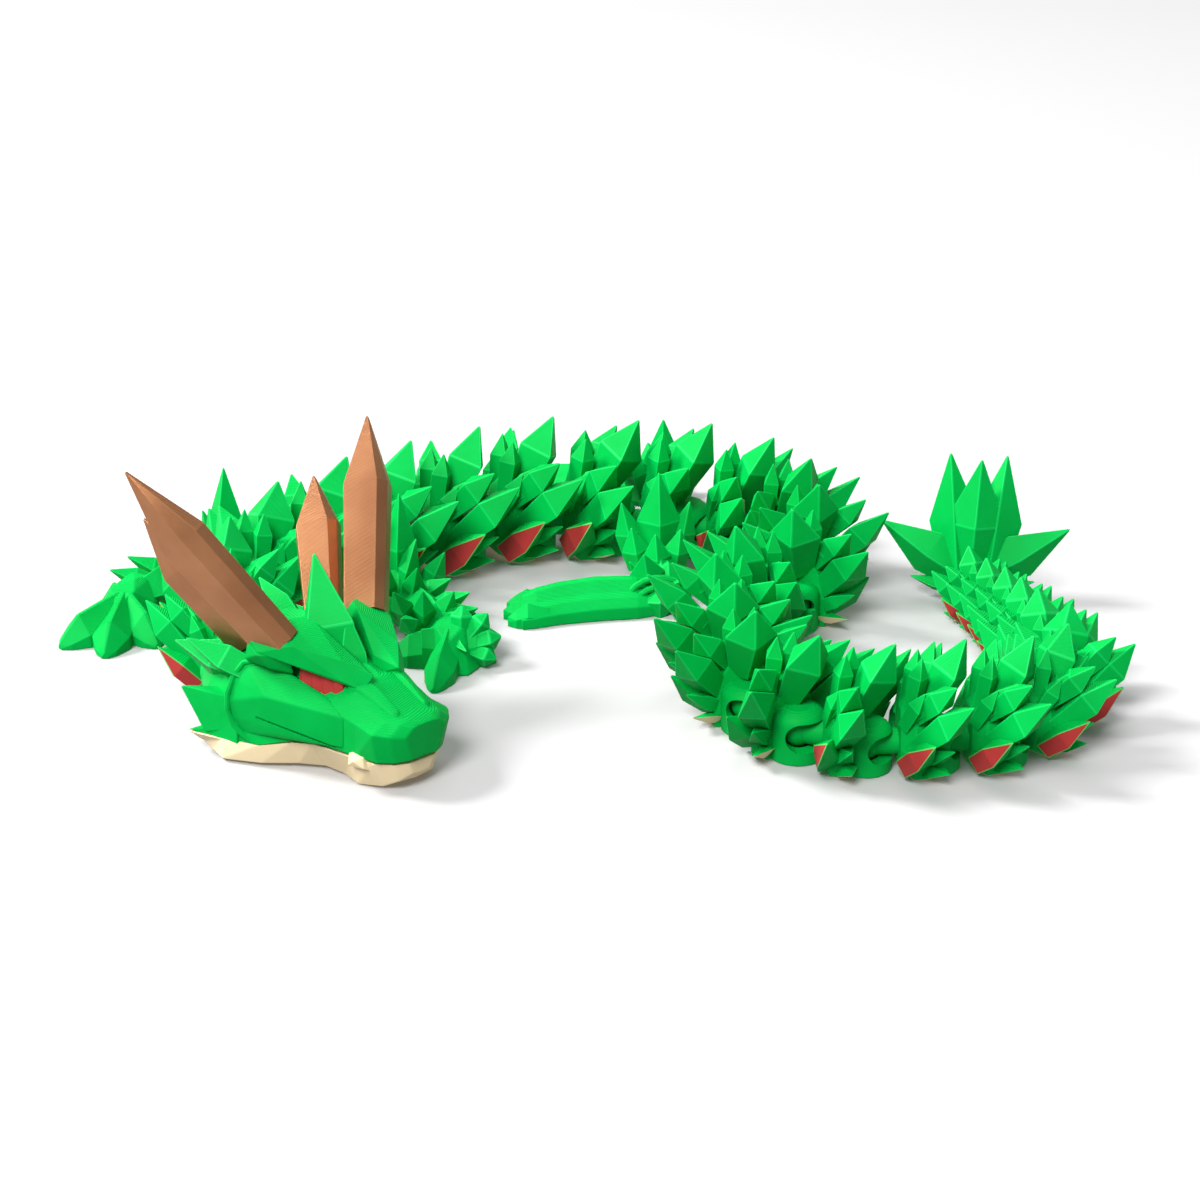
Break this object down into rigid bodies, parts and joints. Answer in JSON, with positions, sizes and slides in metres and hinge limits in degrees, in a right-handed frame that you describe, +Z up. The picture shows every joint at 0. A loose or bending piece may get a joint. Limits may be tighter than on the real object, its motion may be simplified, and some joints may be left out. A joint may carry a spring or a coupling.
{
  "type": "articulated dragon toy",
  "caption": "Print-in-place articulated dragon toy with faceted crystal scales, ball-and-socket spine links, four jointed legs, horned head and crystal tail fin.",
  "frame": {"origin": "centre of the flat belly face of the second torso link, on the table plane", "axes": "+Z up; +X along the torso from the head side to the tail side; +Y across, away from the viewer's side"},
  "size_m": [0.3391, 0.2708, 0.0912],
  "materials": {
    "green_plastic": "satin printed plastic with faint layer lines",
    "bronze_brown_plastic": "satin printed plastic with a bronze shade",
    "red_plastic": "satin printed plastic",
    "cream_plastic": "matt printed plastic"
  },
  "bodies": {
    "head": {"head": "green_plastic", "jaw_plate": "cream_plastic", "horn_long_right": "bronze_brown_plastic", "horn_long_left": "bronze_brown_plastic", "horn_short_right": "bronze_brown_plastic", "horn_short_left": "bronze_brown_plastic", "eye_right": "red_plastic", "eye_left": "red_plastic"},
    "neck_1": {"neck_1": "green_plastic"},
    "neck_2": {"neck_2": "green_plastic"},
    "neck_3": {"neck_3": "green_plastic"},
    "shoulder": {"shoulder": "green_plastic"},
    "torso_1": {"torso_1": "green_plastic"},
    "torso_2": {"torso_2": "green_plastic"},
    "torso_3": {"torso_3": "green_plastic"},
    "torso_4": {"torso_4": "green_plastic"},
    "hip": {"hip": "green_plastic"},
    "tail_01": {"tail_01": "green_plastic"},
    "tail_02": {"tail_02": "green_plastic"},
    "tail_03": {"tail_03": "green_plastic"},
    "tail_04": {"tail_04": "green_plastic"},
    "tail_05": {"tail_05": "green_plastic"},
    "tail_06": {"tail_06": "green_plastic"},
    "tail_07": {"tail_07": "green_plastic"},
    "tail_08": {"tail_08": "green_plastic"},
    "tail_09": {"tail_09": "green_plastic"},
    "tail_10": {"tail_10": "green_plastic"},
    "tail_11": {"tail_11": "green_plastic"},
    "tail_12": {"tail_12": "green_plastic"},
    "tail_13": {"tail_13": "green_plastic"},
    "tail_14": {"tail_14": "green_plastic"},
    "tail_15": {"tail_15": "green_plastic"},
    "tail_16": {"tail_16": "green_plastic"},
    "tail_17": {"tail_17": "green_plastic"},
    "tail_18": {"tail_18": "green_plastic"},
    "tail_19": {"tail_19": "green_plastic"},
    "tail_fin": {"tail_fin": "green_plastic"},
    "leg_front_right": {"leg_front_right": "green_plastic"},
    "leg_front_left": {"leg_front_left": "green_plastic"},
    "leg_hind_right": {"leg_hind_right": "green_plastic"},
    "leg_hind_left": {"leg_hind_left": "green_plastic"}
  },
  "joints": [
    {"name": "torso_1_bend", "type": "hinge", "parent": "torso_2", "child": "torso_1", "pos_m": [-0.01696, -0.01188, 0.0086], "axis": [0, 0, -1], "range_deg": [-23, 32]},
    {"name": "torso_3_bend", "type": "hinge", "parent": "torso_2", "child": "torso_3", "pos_m": [0.00499, 0.00349, 0.0086], "axis": [0, 0, -1], "range_deg": [-43, 19]},
    {"name": "shoulder_bend", "type": "hinge", "parent": "torso_1", "child": "shoulder", "pos_m": [-0.03681, -0.02913, 0.0086], "axis": [0, 0, 1], "range_deg": [-42, 1]},
    {"name": "torso_4_bend", "type": "hinge", "parent": "torso_3", "child": "torso_4", "pos_m": [0.02953, 0.01546, 0.0086], "axis": [0, 0, -1], "range_deg": [-60, 7]},
    {"name": "hip_bend", "type": "hinge", "parent": "torso_4", "child": "hip", "pos_m": [0.05803, 0.01546, 0.0086], "axis": [0, 0, -1], "range_deg": [-2.5, 13.5]},
    {"name": "leg_front_left_swing", "type": "hinge", "parent": "shoulder", "child": "leg_front_left", "pos_m": [-0.03266, -0.04668, 0.0086], "axis": [0, 0, 1], "range_deg": [-19, 2.5]},
    {"name": "leg_front_right_swing", "type": "hinge", "parent": "shoulder", "child": "leg_front_right", "pos_m": [-0.0546, -0.02622, 0.0086], "axis": [0, 0, -1], "range_deg": [-6, 50]},
    {"name": "neck_3_bend", "type": "hinge", "parent": "shoulder", "child": "neck_3", "pos_m": [-0.05489, -0.04851, 0.0086], "axis": [0, 0, -1], "range_deg": [-6, 19]},
    {"name": "leg_hind_left_swing", "type": "hinge", "parent": "hip", "child": "leg_hind_left", "pos_m": [0.07316, -0.00092, 0.0086], "axis": [0, 0, -1], "range_deg": [-12, 5.5]},
    {"name": "leg_hind_right_swing", "type": "hinge", "parent": "hip", "child": "leg_hind_right", "pos_m": [0.07577, 0.02897, 0.0086], "axis": [0, 0, -1], "range_deg": [-0.5, 50]},
    {"name": "neck_2_bend", "type": "hinge", "parent": "neck_3", "child": "neck_2", "pos_m": [-0.06485, -0.07089, 0.0086], "axis": [0, 0, 1], "range_deg": [-51, 15]},
    {"name": "tail_01_bend", "type": "hinge", "parent": "hip", "child": "tail_01", "pos_m": [0.08433, 0.01316, 0.0086], "axis": [0, 0, -1], "range_deg": [-46, 5]},
    {"name": "neck_1_bend", "type": "hinge", "parent": "neck_2", "child": "neck_1", "pos_m": [-0.06611, -0.09486, 0.0086], "axis": [0, 0, -1], "range_deg": [-13.5, 57]},
    {"name": "tail_02_bend", "type": "hinge", "parent": "tail_01", "child": "tail_02", "pos_m": [0.1066, 0.0037, 0.0086], "axis": [0, 0, 1], "range_deg": [-1, 55]},
    {"name": "head_turn", "type": "hinge", "parent": "neck_1", "child": "head", "pos_m": [-0.05869, -0.11769, 0.0086], "axis": [0, 0, 1], "range_deg": [-60, 4]},
    {"name": "tail_03_bend", "type": "hinge", "parent": "tail_02", "child": "tail_03", "pos_m": [0.12087, -0.0133, 0.0086], "axis": [0, 0, 1], "range_deg": [-3, 59]},
    {"name": "tail_04_bend", "type": "hinge", "parent": "tail_03", "child": "tail_04", "pos_m": [0.12536, -0.03443, 0.0086], "axis": [0, 0, -1], "range_deg": [-49, 3]},
    {"name": "tail_05_bend", "type": "hinge", "parent": "tail_04", "child": "tail_05", "pos_m": [0.11908, -0.05499, 0.0086], "axis": [0, 0, -1], "range_deg": [-31, 3]},
    {"name": "tail_06_bend", "type": "hinge", "parent": "tail_05", "child": "tail_06", "pos_m": [0.1034, -0.07013, 0.0086], "axis": [0, 0, -1], "range_deg": [-12, 52]},
    {"name": "tail_07_bend", "type": "hinge", "parent": "tail_06", "child": "tail_07", "pos_m": [0.09397, -0.08946, 0.0086], "axis": [0, 0, 1], "range_deg": [-60, 4]},
    {"name": "tail_08_bend", "type": "hinge", "parent": "tail_07", "child": "tail_08", "pos_m": [0.0951, -0.11103, 0.0086], "axis": [0, 0, 1], "range_deg": [-39, 14]},
    {"name": "tail_09_bend", "type": "hinge", "parent": "tail_08", "child": "tail_09", "pos_m": [0.09911, -0.13164, 0.0086], "axis": [0, 0, -1], "range_deg": [-7, 60]},
    {"name": "tail_10_bend", "type": "hinge", "parent": "tail_09", "child": "tail_10", "pos_m": [0.11296, -0.14937, 0.0086], "axis": [0, 0, -1], "range_deg": [0, 58]},
    {"name": "tail_11_bend", "type": "hinge", "parent": "tail_10", "child": "tail_11", "pos_m": [0.13229, -0.15758, 0.0086], "axis": [0, 0, 1], "range_deg": [-59, 3]},
    {"name": "tail_12_bend", "type": "hinge", "parent": "tail_11", "child": "tail_12", "pos_m": [0.15274, -0.15615, 0.0086], "axis": [0, 0, -1], "range_deg": [-4, 39]},
    {"name": "tail_13_bend", "type": "hinge", "parent": "tail_12", "child": "tail_13", "pos_m": [0.17303, -0.15257, 0.0086], "axis": [0, 0, -1], "range_deg": [-1, 59]},
    {"name": "tail_14_bend", "type": "hinge", "parent": "tail_13", "child": "tail_14", "pos_m": [0.18779, -0.14061, 0.0086], "axis": [0, 0, 1], "range_deg": [-60, 2]},
    {"name": "tail_15_bend", "type": "hinge", "parent": "tail_14", "child": "tail_15", "pos_m": [0.19496, -0.12194, 0.0086], "axis": [0, 0, 1], "range_deg": [-60, 3]},
    {"name": "tail_16_bend", "type": "hinge", "parent": "tail_15", "child": "tail_16", "pos_m": [0.19199, -0.10318, 0.0086], "axis": [0, 0, 1], "range_deg": [-32, 3]},
    {"name": "tail_17_bend", "type": "hinge", "parent": "tail_16", "child": "tail_17", "pos_m": [0.18935, -0.08648, 0.0086], "axis": [0, 0, -1], "range_deg": [-4, 32]},
    {"name": "tail_18_bend", "type": "hinge", "parent": "tail_17", "child": "tail_18", "pos_m": [0.18656, -0.07215, 0.0086], "axis": [0, 0, 1], "range_deg": [-37, 5]},
    {"name": "tail_19_bend", "type": "hinge", "parent": "tail_18", "child": "tail_19", "pos_m": [0.18267, -0.05943, 0.0086], "axis": [0, 0, 1], "range_deg": [-32, 6]},
    {"name": "tail_fin_bend", "type": "hinge", "parent": "tail_19", "child": "tail_fin", "pos_m": [0.1786, -0.04761, 0.0086], "axis": [0, 0, 1], "range_deg": [-12, 9]}
  ]
}
